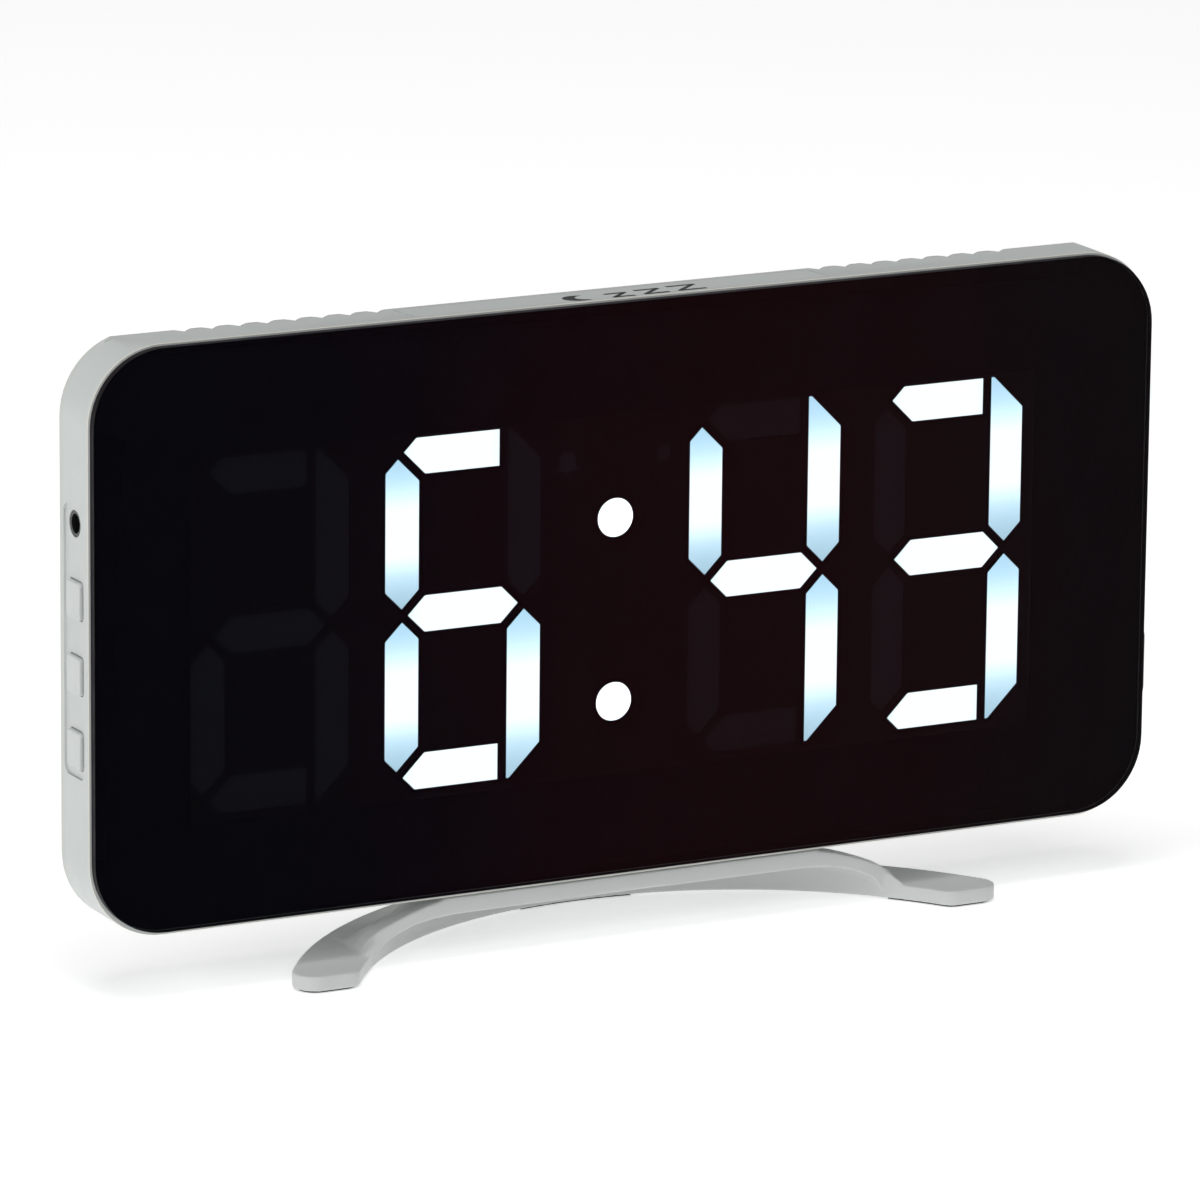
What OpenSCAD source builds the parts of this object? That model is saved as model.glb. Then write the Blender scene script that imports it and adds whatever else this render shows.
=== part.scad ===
// Mirror-faced LED alarm clock on a crescent stand.
// X runs along the display, Y from the front to the back, Z up. The origin is on the table,
// below the middle of the clock. Inside the body the places are counted from the middle of
// the mirror panel's front face, and in_body() carries them to the table frame.

/* [Body] */
// Width of the housing
body_w = 157.3; // [155:0.1:162]
// Height of the housing
body_h = 78.6; // [77.4:0.1:84]
// Corner radius of the housing
body_r = 10.35; // [10:0.05:12]
// Depth from the mirror panel to the back of the rear cover
body_d = 15.0; // [15:0.1:17]
// Depth from the mirror panel to the joint between housing and rear cover
joint_d = 8.95; // [8.9:0.05:9.1]
// Depth from the mirror panel to the back of the rear cover's rim
rim_d = 10.0; // [9.9:0.05:10.2]
// Wall of the housing
wall = 1.6; // [1.5:0.05:1.7]
// Width of the housing's lip that shows round the mirror panel
lip = 0.35; // [0.2:0.05:0.6]
// Width of the lip below the mirror panel
low_lip = 0.6; // [0.5:0.05:0.9]
// Thickness of the mirror panel
panel_t = 1.2; // [1:0.05:1.2]
// How far the top of the housing falls from its front edge to the back of the rim
top_fall = 0.5; // [0.3:0.05:0.6]

/* [Display] */
// Width of one digit
digit_w = 22.8; // [20:0.1:23]
// Height of one digit
digit_h = 47.5; // [40:0.1:48]
// Width of a segment
segment_w = 4.95; // [4:0.05:5.2]
// Gap between neighbouring segments
segment_gap = 1.2; // [0.8:0.1:1.5]
// How much of each outer corner of a digit is cut off, along its edges
corner_cut = 4.45; // [3:0.05:5]
// Middle of the inner digits to the middle of the display
inner_digit_x = 22.4; // [21:0.1:23]
// Middle of the outer digits to the middle of the display
outer_digit_x = 50.35; // [47:0.05:50.5]
// Diameter of the colon's dots
colon_dot_d = 5.3; // [4:0.1:6]
// Heights of the colon's dots above the middle of the display
colon_high = 10.1; // [8:0.1:12]
// Depth of the lower dot below the middle of the display
colon_low = 15.0; // [12:0.1:16]
// Height of the indicator marks above the middle of the display
marks_z = 18.15; // [17:0.05:19]
// Display's place to the right of the middle of the panel
display_x = -1.75; // [-2:0.05:-1]
// Display's place above the middle of the panel
display_z = -0.76; // [-1.2:0.02:-0.5]

/* [Controls] */
// Height of a side button
button_h = 5.0; // [4.5:0.1:5.4]
// Depth of a side button, front to back
button_w = 4.1; // [3.8:0.1:4.3]
// Pitch of the side buttons and the power socket
button_pitch = 9.95; // [9.5:0.05:10.2]
// Height of the top side button above the middle of the body
button_top_z = 5.65; // [5:0.05:6]
// Length of the snooze bar
snooze_w = 61.2; // [50:0.1:61.2]

/* [Grip notches] */
// Middle of the snooze bar and the notches to the right of the middle of the body
grip_x = -1; // [-1.2:0.1:0]
// Number of notches on each side of the snooze bar
notch_count = 8; // [4:1:8]
// Distance between notches
notch_pitch = 3.94; // [3.8:0.02:4]
// Middle of the first notch to the middle of the body
notch_first_x = 32.8; // [32.4:0.1:33]
// Depth of a notch at the back edge
notch_depth = 0.65; // [0.4:0.05:0.65]
// How far a notch runs forward from the back edge
notch_run = 3.2; // [2.5:0.1:3.6]

/* [Sockets and cell] */
// Radius of the power socket's bore
jack_bore_r = 1.3; // [1.25:0.01:1.35]
// Radius of the power socket's round nose
jack_nose_r = 1.75; // [1.7:0.01:1.9]
// Width of the USB socket's bezel, up and down
usb_bezel_h = 10.6; // [10.4:0.1:11]
// Height of the USB socket below the middle of the body
usb_below = 19; // [17:0.1:21]
// Radius of the coin cell
cell_r = 10; // [9.9:0.05:10]
// Thickness of the coin cell
cell_t = 3.2; // [3:0.1:3.2]

/* [Stand] */
// Height of the housing above the table
lift = 8.55; // [8.5:0.05:8.6]
// Distance from the mirror panel forward to the middle of the crescent's arcs
arc_forward = 34; // [33.5:0.5:34]
// Inner radius of the crescent
arc_in = 52.4; // [52.3:0.1:52.5]
// Thickness of the crescent at its toes, with its rubber pads
toe_t = 2.3; // [2.2:0.1:2.4]
// Distance from the mirror panel forward to the tips of the toes
toe_forward = 6.1; // [6:0.1:6.1]
// Radius of a toe's outer corner
toe_r = 3; // [3:0.1:3.1]
// Distance from the front of the mirror panel back to the face of the arch
arch_back = 1.75; // [1.7:0.05:1.8]
// Stand's place to the right of the middle of the body
stand_x = 0.9; // [-1:0.1:1]
// Half of the neck's width under the body
neck_half = 27.5; // [27.5:0.5:28]
// Slope of the arch's wings, down to the back, in degrees
wing_slope = 15; // [14:1:16]

/* [Hidden] */
$fn = 96;
front_y = -10.8;
eps = 0.01;
big = 200;
mid_z = lift + body_h / 2;

// housing and panel
panel_w = body_w - 2 * lip;
panel_h = body_h - lip - low_lip;
panel_up = (low_lip - lip) / 2;
panel_r = body_r - lip;
front_wall_d = 2.8;
inner_w = body_w - 2 * wall;
inner_h = body_h - 2 * wall;
inner_r = body_r - wall;
tape_t = 0.2;
tape_inset = 0.1;
wedge_lead = 0.2;
ridge_proud = 0.08;

// display stack, counted from the panel's front face
film_t = 0.2;
box_front = front_wall_d + film_t;
board_front = 8.4;
board_t = 1.2;
board_back = board_front + board_t;
insert_t = 1.6;
box_margin = 3.3;
box_w = 2 * outer_digit_x + digit_w + 2 * box_margin;
box_h = digit_h + 2 * box_margin;
window_edge = 1.5;
tape_edge = 2.5;
board_w = 148.6;
board_h = 70;
board_notch_x = 64.2;
board_notch_z = 27.6;

// seven-segment outlines
half_w = digit_w / 2;
half_h = digit_h / 2;
bar_x = half_w - segment_w;
mid_x = half_w - segment_w / 2;
mitre = segment_gap * sqrt(2) / 2;
tip = mitre;
slope_sum = half_w + half_h - corner_cut;
skew = half_h - half_w;
top_bar = [
    [-(half_h - segment_w - skew - mitre), half_h - segment_w],
    [-(slope_sum - skew - mitre) / 2, (slope_sum + skew + mitre) / 2],
    [-(slope_sum - half_h), half_h],
    [bar_x - segment_gap, half_h],
    [bar_x - segment_gap, half_h - segment_w]
];
upper_right = [
    [bar_x, half_h],
    [slope_sum - half_h, half_h],
    [half_w, slope_sum - half_w],
    [half_w, tip + segment_w / 2],
    [mid_x, tip],
    [bar_x, tip + segment_w / 2]
];
upper_left = [
    [-half_w, slope_sum - half_w],
    [-(slope_sum - skew + mitre) / 2, (slope_sum + skew - mitre) / 2],
    [-bar_x, bar_x + skew - mitre],
    [-bar_x, tip + segment_w / 2],
    [-mid_x, tip],
    [-half_w, tip + segment_w / 2]
];
middle_bar = [
    [-(mid_x - tip), 0],
    [-(mid_x - tip - segment_w / 2), segment_w / 2],
    [mid_x - tip - segment_w / 2, segment_w / 2],
    [mid_x - tip, 0],
    [mid_x - tip - segment_w / 2, -segment_w / 2],
    [-(mid_x - tip - segment_w / 2), -segment_w / 2]
];
function flip(points) = [for (p = points) [p[0], -p[1]]];
// clockwise from the top, then upper left and middle; the first digit has no upper left
segments = [top_bar, upper_right, flip(upper_right), flip(top_bar), flip(upper_left),
            middle_bar, upper_left];
digit_places = [-outer_digit_x, -inner_digit_x, inner_digit_x, outer_digit_x];
digit_lengths = [6, 7, 7, 7];
// light emitters of each segment, as places in a digit
bar_led_x = 3.2;
side_led_z = [7, 16];
mark_h = 3.7;
mark_x = 7.15;
mark_box = [5.4, 4.4];

// side controls
button_y = 5.5;
button_z = [button_top_z, button_top_z - button_pitch, button_top_z - 2 * button_pitch];
button_proud = 0.6;
recess_depth = 0.3;
recess_h = 36;
recess_y = [2.6, 8.85];
side_x = -body_w / 2;
button_out = side_x + recess_depth - button_proud;
button_play = 0.15;
flange_gap = 0.1;
flange_t = 0.8;
flange_over = 0.8;
flange_x = side_x + wall + flange_gap;
stem_x = flange_x + flange_t;
plunger_r = 1.2;
plunger_gap = 0.15;
plunger_x = -74.9;
plunger_l = 1.9;
switch_x = -73.7;
switch_l = 4.4;
switch_h = 6;
switch_front = 3.6;
bore_deep = 1.9;

// snooze bar
snooze_y = [2.35, 8.85];
snooze_play = 0.1;
snooze_flange_z = [body_h / 2 - 2.7, body_h / 2 - 1.8];
snooze_flange_over = 1.4;
snooze_stem_z = body_h / 2 - 3.2;
snooze_switch_z = 30.6;
snooze_switch_h = 4.5;

// power socket
jack_z = button_top_z + button_pitch;
jack_y = 5.9;
jack_x = side_x + wall + 0.05;
jack_l = 9.5;
jack_w = 5.6;
jack_deep = 8.4;
jack_pin_r = 0.35;
jack_pin_l = 8.9;

// USB socket
usb_y = 4.6;
usb_bezel_w = 5.2;
usb_bezel_out = body_w / 2 + 1.05;
usb_sleeve = [4.3, 9.9];
usb_shell = [3.26, 8.94];
usb_shell_wall = 0.3;
usb_shell_x = [72, 79.4];
usb_tongue = [0.7, 6.7];

// rear cover
cover_step = 1.0;
cover_slope = 4.6;
cover_wall = 1.6;
cover_rim_wall = 2.6;
cover_inner_d = body_d - cover_wall;
screw_x = 67.5;
screw_z = 30.8;
boss_r = 2.6;
screw_r = 1.0;
boss_end = 11;
head_r = 1.9;
head_t = 1.2;
head_sink = 1.8;
drive_l = 2.4;
drive_w = 0.5;
stand_screw_l = 6;
board_screw_x = 30;
board_screw_z = 31.4;
board_boss_r = 2.2;
stand_screw_x = 18;
stand_screw_y = 5.2;
stand_boss_top = -32.8;

// coin cell
cell_x = 36;
cell_z = -4;
cell_front = board_back + 0.5;
well_r = cell_r + 0.25;
well_out_r = well_r + 2.3;
door_r = 11.3;
door_flange_t = 0.8;
door_play = 0.15;
lug_w = 2.4;

// board parts
buzzer_x = -44;
buzzer_z = -16;
buzzer_r = 4.8;
buzzer_t = 3.3;
slot_pitch = 2.6;
slot_l = 10;
slot_w = 1.2;

// stand
arc_y = front_y - arc_forward;
rubber_show = 0.25;
rubber_t = 0.85;
toe_pad_l = 8;
pad_inset = 0.7;
stand_base = rubber_show;
shadow_gap = 0.3;
deck_top = lift - shadow_gap;
deck_t = 2.2;
neck_t = 1.6;
ridge_h = 5;
ridge_angle = 52;
ridge_top = 37;
ridge_foot = 40.6;
foot_x = 40.3;
arc_out = 61.2;
toe_in_r = 2.5;
// the ends of the crescent's ridge, seen from the front
ridge_end = [[-ridge_foot, 1], [ridge_foot, 1], [ridge_foot, toe_t], [ridge_top, ridge_h + 0.4],
             [-ridge_top, ridge_h + 0.4], [-ridge_foot, toe_t]];
// right half of the arch seen from the front, from the middle out to its foot and back
arch_half = [
    [0, deck_top], [neck_half, deck_top], [31, 7.45], [33.2, 6.75], [35.5, 5.9], [37.6, 5],
    [39.2, 4], [40.1, 2.9], [foot_x, toe_t + 0.2], [foot_x, 1], [38.3, 1], [37.7, 2],
    [36.6, 3.2], [34.8, 4.2], [32.2, 5.15], [29.3, 5.65], [25.5, 5.9], [0, 5.95]
];

// ---- helpers ----

// carries the body's own places to the table frame
module in_body() {
    translate([0, front_y, mid_z]) children();
}

// a flat outline in X and Z, thickened from depth y0 to y1
module slab(y0, y1) {
    translate([0, y1, 0]) rotate([90, 0, 0]) linear_extrude(y1 - y0) children();
}

// a flat outline in Y and Z, thickened from x0 to x1
module side_slab(x0, x1) {
    translate([x0, 0, 0]) rotate([90, 0, 90]) linear_extrude(x1 - x0) children();
}

// a round bar along Y
module bar_y(x, z, r, y0, y1) {
    translate([x, y0, z]) rotate([-90, 0, 0]) cylinder(h = y1 - y0, r = r);
}

// a round bar along X
module bar_x_dir(y, z, r, x0, x1) {
    translate([x0, y, z]) rotate([0, 90, 0]) cylinder(h = x1 - x0, r = r);
}

// a rectangle with round corners
module rounded(w, h, r) {
    square([w - 2 * r, h], center = true);
    square([w, h - 2 * r], center = true);
    for (x = [-1, 1], y = [-1, 1])
        translate([x * (w / 2 - r), y * (h / 2 - r)]) circle(r);
}

// a block with round corners whose four sides lean in by inset over its depth
module leaning_block(w, h, r, inset, y0, y1) {
    for (x = [-1, 1], z = [-1, 1])
        translate([x * (w / 2 - r), y0, z * (h / 2 - r)])
            rotate([-90, 0, 0]) cylinder(h = y1 - y0, r1 = r, r2 = r - inset);
    translate([-(w / 2 - r), 0, 0]) rotate([90, 0, 90]) linear_extrude(w - 2 * r)
        polygon([[y0, -h / 2], [y1, inset - h / 2], [y1, h / 2 - inset], [y0, h / 2]]);
    translate([0, 0, -(h / 2 - r)]) linear_extrude(h - 2 * r)
        polygon([[-w / 2, y0], [w / 2, y0], [w / 2 - inset, y1], [inset - w / 2, y1]]);
}

// a pan-head screw along Y, head at the back, its head's seat at depth seat
module screw_y(x, z, seat, length) {
    difference() {
        union() {
            bar_y(x, z, screw_r, seat - length, seat);
            bar_y(x, z, head_r, seat, seat + head_t);
        }
        translate([x, seat + head_t, z]) cube([drive_l, 1, drive_w], center = true);
        translate([x, seat + head_t, z]) cube([drive_w, 1, drive_l], center = true);
    }
}

module at_corners(x, z) {
    for (sx = [-1, 1], sz = [-1, 1]) translate([sx * x, 0, sz * z]) children();
}

// what the falling top takes away
module top_wedge() {
    front = body_h / 2 - top_fall * wedge_lead / (rim_d - panel_t);
    back = front - top_fall * (rim_d + 1 - panel_t) / (rim_d - panel_t);
    side_slab(-body_w, body_w)
        polygon([[panel_t - 1, body_h], [panel_t - 1, front + top_fall / (rim_d - panel_t)],
                 [rim_d + 1, back], [rim_d + 1, body_h]]);
}

// the space between two neighbouring round ridges of the grip, seen from the front
module notch_outline() {
    half = notch_pitch / 2;
    sink = notch_depth + ridge_proud;
    r = (half * half + sink * sink) / (2 * sink);
    difference() {
        translate([-half, -notch_depth - 0.1]) square([notch_pitch, notch_depth + 1.1]);
        for (s = [-1, 1]) translate([s * half, ridge_proud - r]) circle(r, $fn = 240);
    }
}

// the tapered cutters of the grip notches
module notch_cutters() {
    tilt = atan((notch_depth + top_fall * notch_run / rim_d) / notch_run);
    for (s = [-1, 1], i = [0 : notch_count - 1])
        translate([grip_x + s * (notch_first_x + i * notch_pitch), rim_d, body_h / 2 - top_fall])
            rotate([-tilt, 0, 0]) slab(-2 * notch_run, 1) notch_outline();
}

// ---- display ----

module segment_outlines(digit) {
    translate([display_x + digit_places[digit], display_z])
        for (i = [0 : digit_lengths[digit] - 1]) polygon(segments[i]);
}

module colon_outlines() {
    for (z = [colon_high, -colon_low])
        translate([display_x, display_z + z]) circle(d = colon_dot_d);
}

// a bell for the alarm and a dot for the afternoon
module bell_outline() {
    w = mark_h * 0.36;
    translate([0, mark_h * 0.6]) circle(w);
    translate([-w, mark_h * 0.3]) square([2 * w, mark_h * 0.32]);
    translate([-w * 1.4, mark_h * 0.18]) square([w * 2.8, mark_h * 0.15]);
    translate([0, mark_h * 0.1]) circle(mark_h * 0.1);
}

module mark_outlines() {
    z = display_z + marks_z;
    translate([display_x - mark_x, z - mark_h / 2]) bell_outline();
    translate([display_x + mark_x, z]) circle(mark_h * 0.3);
}

module all_windows() {
    for (d = [0 : 3]) segment_outlines(d);
    colon_outlines();
}

module panel_outline(inset) {
    translate([0, panel_up])
        rounded(panel_w - 2 * inset, panel_h - 2 * inset, panel_r - inset);
}

module mirror_panel() {
    color([0.03, 0.03, 0.04]) in_body() slab(0, panel_t) panel_outline(0);
}

module display_plate(margin) {
    translate([display_x, display_z])
        square([box_w - 2 * margin, box_h - 2 * margin], center = true);
}

module panel_tape() {
    color([0.05, 0.05, 0.05]) in_body() slab(panel_t, panel_t + tape_t) difference() {
        panel_outline(tape_inset);
        display_plate(tape_edge);
    }
}

module segment_film() {
    color([0.04, 0.04, 0.04]) in_body() difference() {
        slab(front_wall_d, front_wall_d + film_t) display_plate(0.5);
        slab(front_wall_d - 1, front_wall_d + 1) all_windows();
        slab(front_wall_d - 1, front_wall_d + 1) mark_outlines();
    }
}

module light_box() {
    color([0.93, 0.93, 0.9]) in_body() difference() {
        slab(box_front, board_front) display_plate(0);
        slab(box_front - 1, board_front + 1) all_windows();
        for (s = [-1, 1])
            translate([display_x + s * mark_x, box_front, display_z + marks_z])
                cube([mark_box[0], big, mark_box[1]], center = true);
    }
}

module digit(index) {
    color([0.9, 0.95, 1]) in_body()
        slab(box_front, box_front + insert_t) segment_outlines(index);
}

module digit_1() { digit(0); }
module digit_2() { digit(1); }
module digit_3() { digit(2); }
module digit_4() { digit(3); }

module colon_dots() {
    color([0.9, 0.95, 1]) in_body() slab(box_front, box_front + insert_t) colon_outlines();
}

module indicator_marks() {
    color([0.8, 0.8, 0.8]) in_body() for (s = [-1, 1])
        translate([display_x + s * mark_x, box_front + insert_t / 2, display_z + marks_z])
            cube([mark_box[0], insert_t, mark_box[1]], center = true);
}

module chip_at(x, z) {
    translate([x, board_front - 0.35, z]) cube([2, 0.7, 1.3], center = true);
}

module led_chips() {
    color([0.95, 0.9, 0.6]) in_body() translate([display_x, 0, display_z]) {
        for (d = [0 : 3]) translate([digit_places[d], 0, 0]) {
            for (x = [-bar_led_x, bar_led_x - 1], z = [-1, 0, 1])
                chip_at(x, z * (half_h - segment_w / 2));
            for (z = side_led_z) {
                for (s = [-1, 1]) chip_at(mid_x, s * z);
                chip_at(-mid_x, -z);
                if (digit_lengths[d] > 6) chip_at(-mid_x, z);
            }
        }
        for (z = [colon_high, -colon_low]) chip_at(0, z);
        for (s = [-1, 1]) chip_at(s * mark_x, marks_z);
    }
}

// ---- housing ----

module tape_pocket() {
    slab(panel_t - 1, panel_t + tape_t) panel_outline(tape_inset);
}

module front_housing() {
    color([0.8, 0.82, 0.81]) in_body() difference() {
        union() {
            difference() {
                slab(panel_t, joint_d) rounded(body_w, body_h, body_r);
                slab(front_wall_d, joint_d + 1) rounded(inner_w, inner_h, inner_r);
            }
            at_corners(screw_x, screw_z) bar_y(0, 0, boss_r, front_wall_d - 0.5, boss_end);
            at_corners(board_screw_x, board_screw_z)
                bar_y(0, 0, board_boss_r, front_wall_d - 0.5, board_front);
            for (s = [-1, 1])
                translate([stand_x + s * stand_screw_x, stand_screw_y, -inner_h / 2 - 0.5])
                    cylinder(h = stand_boss_top + inner_h / 2 + 0.5, r = board_boss_r);
        }
        tape_pocket();
        slab(panel_t - 1, front_wall_d + 1) display_plate(window_edge);
        at_corners(screw_x, screw_z) bar_y(0, 0, screw_r, front_wall_d + 1, boss_end + 1);
        at_corners(board_screw_x, board_screw_z)
            bar_y(0, 0, screw_r, front_wall_d + 0.6, board_front + 1);
        for (s = [-1, 1])
            translate([stand_x + s * stand_screw_x, stand_screw_y, -body_h / 2 - 1])
                cylinder(h = 6, r = screw_r);
        top_wedge();
        notch_cutters();
        // recess, button holes and power socket's hole in the left side
        side_slab(side_x - 1, side_x + recess_depth)
            translate([(recess_y[0] + recess_y[1]) / 2, 0])
                rounded(recess_y[1] - recess_y[0], recess_h, 1.2);
        for (z = button_z)
            side_slab(side_x - 1, side_x + wall + 1) translate([button_y, z])
                rounded(button_w + 2 * button_play, button_h + 2 * button_play, 0.75);
        bar_x_dir(jack_y, jack_z, jack_nose_r + 0.05, side_x - 1, side_x + wall + 1);
        // hole for the USB socket's bezel in the right side
        side_slab(-side_x - wall - 1, -side_x + 1) translate([usb_y, -usb_below])
            rounded(usb_sleeve[0] + 0.1, usb_sleeve[1] + 0.1, 1.5);
        // slot for the snooze bar, open to the rear cover
        translate([grip_x - snooze_w / 2 - snooze_play, snooze_y[0] - snooze_play, inner_h / 2 - 1])
            cube([snooze_w + 2 * snooze_play, big, 10]);
    }
}

module rear_cover() {
    color([0.78, 0.8, 0.79]) in_body() difference() {
        union() {
            difference() {
                union() {
                    slab(joint_d, rim_d) rounded(body_w, body_h, body_r);
                    leaning_block(body_w - 2 * cover_step, body_h - 2 * cover_step,
                                  body_r - cover_step, cover_slope, rim_d - eps, body_d);
                }
                cover_hollow();
            }
            at_corners(screw_x, screw_z) bar_y(0, 0, boss_r + 0.2, boss_end, cover_inner_d + 0.5);
            bar_y(cell_x, cell_z, well_out_r, cell_front + 0.2, cover_inner_d + 0.5);
        }
        at_corners(screw_x, screw_z) bar_y(0, 0, screw_r + 0.15, boss_end - 1, body_d + 1);
        at_corners(screw_x, screw_z) bar_y(0, 0, head_r + 0.3, body_d - head_sink, body_d + 1);
        bar_y(cell_x, cell_z, well_r, cell_front - 1, body_d + 1);
        bar_y(cell_x, cell_z, door_r + door_play, body_d - door_flange_t, body_d + 1);
        translate([cell_x, body_d, cell_z])
            cube([2 * (door_r + door_play), 3.1, lug_w + 0.4], center = true);
        for (i = [-2 : 2])
            translate([buzzer_x, body_d, buzzer_z + i * slot_pitch])
                cube([slot_l, 3 * cover_wall, slot_w], center = true);
        top_wedge();
        notch_cutters();
    }
}

module cover_hollow() {
    w = body_w - 2 * cover_rim_wall;
    h = body_h - 2 * cover_rim_wall;
    r = body_r - cover_rim_wall;
    lean = cover_slope * (cover_inner_d - rim_d) / (body_d - rim_d);
    slab(joint_d - 1, rim_d) rounded(w, h, r);
    leaning_block(w, h, r, lean, rim_d - eps, cover_inner_d);
}

module case_screws() {
    color("silver") in_body() at_corners(screw_x, screw_z) screw_y(0, 0, body_d - head_sink, 8);
}

module board_screws() {
    color("silver") in_body() at_corners(board_screw_x, board_screw_z)
        screw_y(0, 0, board_back, 5);
}

// ---- board ----

module main_board() {
    color([0.1, 0.4, 0.25]) in_body() difference() {
        slab(board_front, board_back) square([board_w, board_h], center = true);
        slab(board_front - 1, board_back + 1)
            for (sx = [0, 1], sz = [0, 1]) mirror([sx, 0]) mirror([0, sz])
                translate([board_notch_x, board_notch_z]) square(big);
        at_corners(board_screw_x, board_screw_z)
            bar_y(0, 0, screw_r + 0.1, board_front - 1, board_back + 1);
    }
}

// a flat chip on the back of the board, with legs along its two long sides
module chip(x, z, w, h, t, legs) {
    translate([x, board_back + 0.1 + t / 2, z]) cube([w, t, h], center = true);
    for (i = [0 : legs - 1], s = [-1, 1])
        translate([x + (i - (legs - 1) / 2) * 1.27, board_back + 0.2, z + s * (h / 2 + 0.5)])
            cube([0.4, 0.4, 1.4], center = true);
}

module clock_chip() {
    color([0.12, 0.12, 0.12]) in_body() chip(-18, 10, 13, 7.6, 2, 10);
}

module driver_chip() {
    color([0.12, 0.12, 0.12]) in_body() chip(2, -14, 10.4, 6, 1.8, 8);
}

module crystal() {
    color("silver") in_body() bar_x_dir(board_back + 1.1, 18.5, 1, -22, -16);
}

module capacitors() {
    color([0.85, 0.6, 0.2]) in_body() for (z = [10, 18])
        translate([-55, board_back + 1.3, z]) cube([7.3, 2.6, 4.3], center = true);
}

module buzzer() {
    color([0.1, 0.1, 0.1]) in_body() difference() {
        bar_y(buzzer_x, buzzer_z, buzzer_r, board_back, board_back + buzzer_t);
        bar_y(buzzer_x, buzzer_z, 1, board_back + 1, board_back + buzzer_t + 1);
    }
}

module coin_cell() {
    color("silver") in_body() {
        bar_y(cell_x, cell_z, cell_r - 1.4, cell_front, cell_front + 0.4);
        bar_y(cell_x, cell_z, cell_r, cell_front + 0.3, cell_front + cell_t);
    }
}

module cell_contact_minus() {
    color("gold") in_body() {
        translate([cell_x - 6, board_back, cell_z - 2]) cube([12, 0.25, 4]);
        bar_y(cell_x, cell_z, 1.2, board_back + 0.2, cell_front);
    }
}

module cell_contact_plus() {
    color("gold") in_body() translate([cell_x, 0, cell_z]) {
        rotate([-90, 0, 0]) rotate([0, 0, 160]) translate([0, 0, cell_front + 0.4])
            rotate_extrude(angle = 40) translate([cell_r + 0.02, 0]) square([0.2, 2.6]);
        translate([-cell_r - 0.2, board_back, -0.7]) cube([0.2, cell_front - board_back + 0.6, 1.4]);
    }
}

module battery_door() {
    color([0.78, 0.8, 0.79]) in_body() difference() {
        union() {
            bar_y(cell_x, cell_z, door_r, body_d - door_flange_t, body_d);
            bar_y(cell_x, cell_z, well_r - door_play,
                  cover_inner_d + 0.1, body_d - door_flange_t + eps);
            translate([cell_x - door_r, cover_inner_d + 0.1, cell_z - lug_w / 2])
                cube([2 * door_r, body_d - door_flange_t - cover_inner_d, lug_w]);
        }
        translate([cell_x, body_d, cell_z]) cube([13, 1.2, 2], center = true);
    }
}

// ---- controls ----

module tact_body() {
    difference() {
        translate([switch_x, switch_front, -switch_h / 2])
            cube([switch_l, board_front - switch_front, switch_h]);
        bar_x_dir(button_y, 0, plunger_r + plunger_gap, switch_x - 1, switch_x + bore_deep);
    }
}

module side_switches() {
    color([0.15, 0.15, 0.15]) in_body() for (z = button_z) translate([0, 0, z]) tact_body();
}

module snooze_switch() {
    color([0.15, 0.15, 0.15]) in_body() difference() {
        translate([-switch_h / 2, switch_front, snooze_switch_z])
            cube([switch_h, board_front - switch_front, snooze_switch_h]);
        translate([0, button_y, snooze_switch_z + snooze_switch_h - 1.4])
            cylinder(h = 5, r = plunger_r + plunger_gap);
    }
}

module side_button(index) {
    z = button_z[index];
    color([0.82, 0.84, 0.83]) in_body() translate([0, button_y, z]) {
        side_slab(button_out, flange_x + eps) rounded(button_w, button_h, 0.6);
        side_slab(flange_x, stem_x) square([button_w + 1.1, button_h + 2 * flange_over], center = true);
        side_slab(stem_x - eps, plunger_x) square([2.4, 2.4], center = true);
    }
}

module side_plunger(index) {
    color([0.7, 0.68, 0.6]) in_body()
        bar_x_dir(button_y, button_z[index], plunger_r, plunger_x, plunger_x + plunger_l);
}

module mode_button() { side_button(0); }
module up_button() { side_button(1); }
module down_button() { side_button(2); }
module mode_plunger() { side_plunger(0); }
module up_plunger() { side_plunger(1); }
module down_plunger() { side_plunger(2); }

module snooze_bar() {
    over = snooze_flange_over;
    color([0.8, 0.82, 0.81]) in_body() {
        difference() {
            translate([grip_x - snooze_w / 2, snooze_y[0], snooze_flange_z[1] - eps])
                cube([snooze_w, snooze_y[1] - snooze_y[0], body_h / 2 - snooze_flange_z[1] + eps]);
            top_wedge();
        }
        translate([grip_x - snooze_w / 2 - over, front_wall_d + 0.2, snooze_flange_z[0]])
            cube([snooze_w + 2 * over, snooze_y[1] - front_wall_d - 0.4,
                  snooze_flange_z[1] - snooze_flange_z[0]]);
        translate([-2.5, button_y - 1.5, snooze_stem_z]) cube([5, 3, 0.6]);
    }
}

module snooze_plunger() {
    color([0.7, 0.68, 0.6]) in_body()
        translate([0, button_y, snooze_stem_z - 1.5]) cylinder(h = 1.5, r = plunger_r);
}

// ---- sockets ----

module power_jack() {
    color([0.08, 0.08, 0.08]) in_body() difference() {
        union() {
            translate([jack_x, 3.4, jack_z - jack_w / 2]) cube([jack_l, board_front - 3.4, jack_w]);
            bar_x_dir(jack_y, jack_z, jack_nose_r, side_x + recess_depth + 0.1, jack_x + 1);
        }
        bar_x_dir(jack_y, jack_z, jack_bore_r, side_x - 1, jack_x + jack_deep);
    }
}

module power_jack_pin() {
    color("silver") in_body() {
        bar_x_dir(jack_y, jack_z, jack_pin_r, jack_x + jack_deep - jack_pin_l, jack_x + jack_deep);
    }
}

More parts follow.
